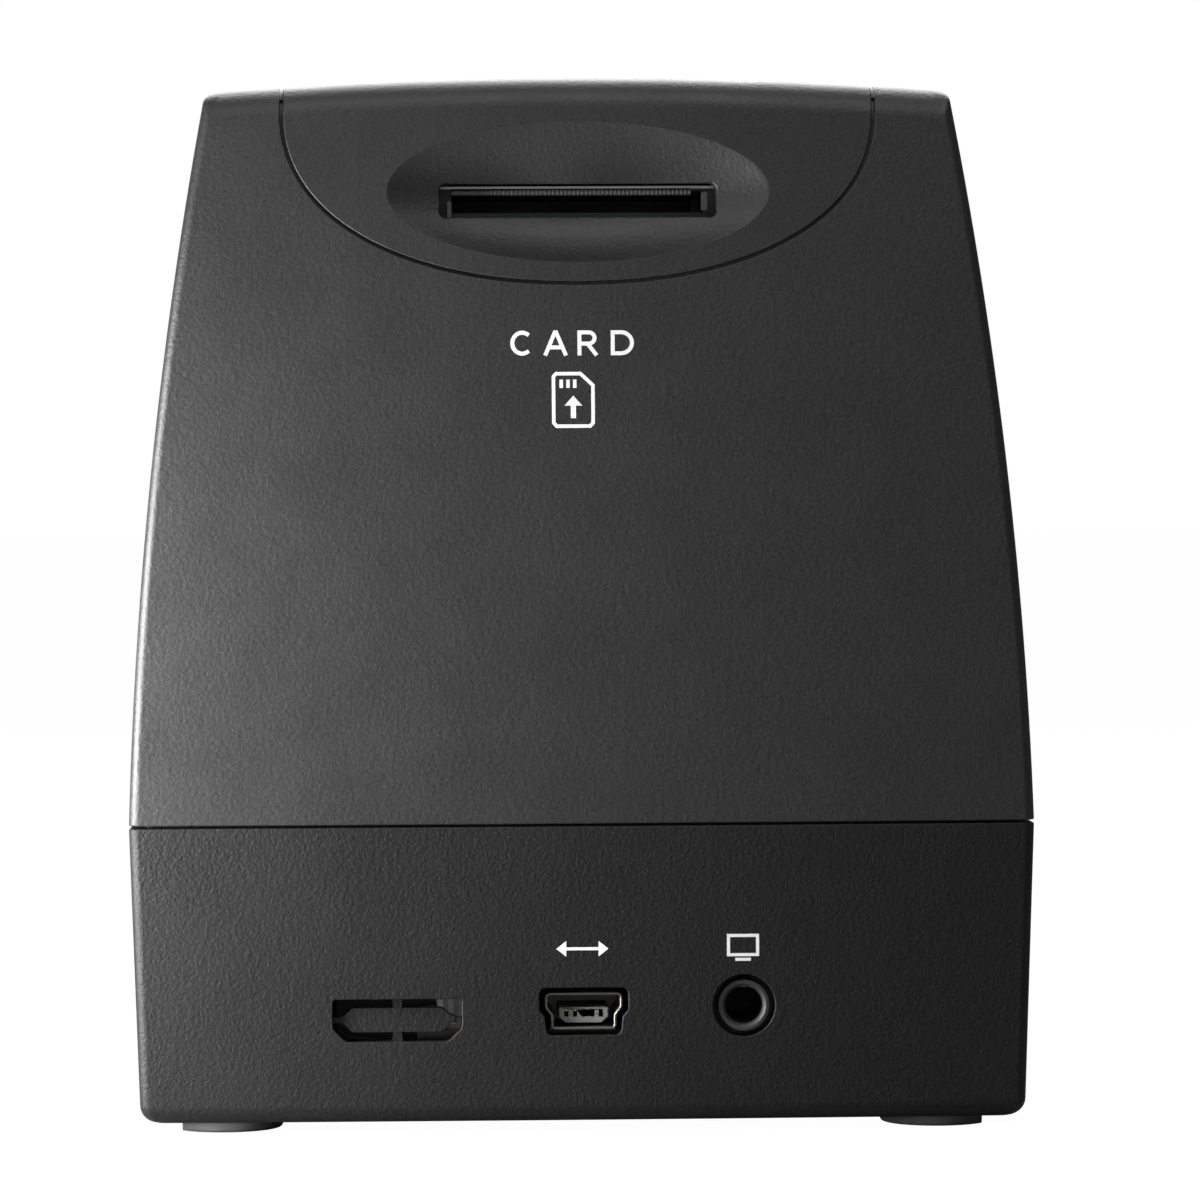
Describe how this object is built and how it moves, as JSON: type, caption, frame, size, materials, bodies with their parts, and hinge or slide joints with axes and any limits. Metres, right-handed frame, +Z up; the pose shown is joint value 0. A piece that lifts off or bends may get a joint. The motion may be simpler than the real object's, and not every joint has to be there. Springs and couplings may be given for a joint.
{
  "type": "film negative scanner",
  "caption": "Desktop film scanner: base with a film channel through it, leaning tower with display, buttons and a card slot in a scoop at the back.",
  "frame": {"origin": "middle of the bounding box, on the table under the feet", "axes": "+Z up; -Y is the front with the display, +Y the back with the sockets; the film goes through along X"},
  "size_m": [0.087, 0.087, 0.1018],
  "materials": {
    "shell_black": "moulded ABS, fine spark texture",
    "panel_black": "moulded ABS, fine spark texture",
    "inner_black": "moulded ABS, matt",
    "button_grey": "painted ABS",
    "window": "clear acrylic",
    "display": "display glass",
    "steel": "plated steel sheet",
    "tin": "nickel plate",
    "circuit": "solder mask",
    "chip": "epoxy moulding",
    "nylon": "nylon",
    "ribbon": "polyester film",
    "gold": "gold plate",
    "optic": "coated glass",
    "opal": "opal acrylic",
    "white_box": "white ABS",
    "led": "phosphor",
    "acetal": "acetal",
    "tongue_grey": "moulded contact carrier",
    "rubber": "moulded rubber"
  },
  "bodies": {
    "housing": {"base_shell": "shell_black", "tower_shell": "shell_black", "top_panel": "panel_black", "display_window": "window", "display_glass": "display", "display_frame": "steel", "front_board": "circuit", "tact_switches": "chip", "power_board": "circuit", "power_switch": "chip", "card_board": "circuit", "card_socket_shell": "tin", "card_socket_body": "inner_black", "card_contacts": "gold", "camera_base": "inner_black", "lens_holder": "inner_black", "lens_barrel": "inner_black", "lens_glass": "optic", "sensor_board": "circuit", "image_sensor": "display", "film_bed": "inner_black", "diffuser": "opal", "light_box": "white_box", "led_board": "white_box", "leds": "led", "io_board": "circuit", "mini_socket_shell": "tin", "mini_socket_tongue": "tongue_grey", "jack_body": "inner_black", "main_board": "circuit", "board_chips": "chip", "connectors": "nylon", "io_ribbon": "ribbon", "sensor_ribbon": "ribbon", "front_ribbon": "ribbon", "led_ribbon": "ribbon", "case_screws": "steel", "board_screws": "steel", "foot_back_left": "rubber", "foot_back_right": "rubber", "foot_front_left": "rubber", "foot_front_right": "rubber"},
    "mode_button": {"mode_button": "button_grey"},
    "left_button": {"left_button": "button_grey"},
    "ok_button": {"ok_button": "button_grey"},
    "right_button": {"right_button": "button_grey"},
    "copy_button": {"copy_button": "button_grey"},
    "power_button": {"power_button": "button_grey"},
    "card_slider": {"card_slider": "inner_black"},
    "detent_arm": {"detent_arm": "acetal"}
  },
  "joints": [
    {"name": "mode_button_press", "type": "slide", "parent": "housing", "child": "mode_button", "axis": [0, 0.9659, -0.2588], "range_m": [0, 0.0004], "stiffness_N_per_m": 300},
    {"name": "left_button_press", "type": "slide", "parent": "housing", "child": "left_button", "axis": [0, 0.9659, -0.2588], "range_m": [0, 0.0004], "stiffness_N_per_m": 300},
    {"name": "ok_button_press", "type": "slide", "parent": "housing", "child": "ok_button", "axis": [0, 0.9659, -0.2588], "range_m": [0, 0.0004], "stiffness_N_per_m": 300},
    {"name": "right_button_press", "type": "slide", "parent": "housing", "child": "right_button", "axis": [0, 0.9659, -0.2588], "range_m": [0, 0.0004], "stiffness_N_per_m": 300},
    {"name": "copy_button_press", "type": "slide", "parent": "housing", "child": "copy_button", "axis": [0, 0.9659, -0.2588], "range_m": [0, 0.0004], "stiffness_N_per_m": 300},
    {"name": "power_button_press", "type": "slide", "parent": "housing", "child": "power_button", "axis": [0, 0, -1], "range_m": [0, 0.0004], "stiffness_N_per_m": 300},
    {"name": "card_slider_slide", "type": "slide", "parent": "housing", "child": "card_slider", "axis": [0, -1, 0], "range_m": [0, 0.0013], "stiffness_N_per_m": 200},
    {"name": "detent_arm_swing", "type": "hinge", "parent": "housing", "child": "detent_arm", "pos_m": [-0.002, 0.0331, 0.02287], "axis": [0, 0, 1], "range_deg": [-5, 0], "stiffness_Nm_per_rad": 0.05}
  ]
}
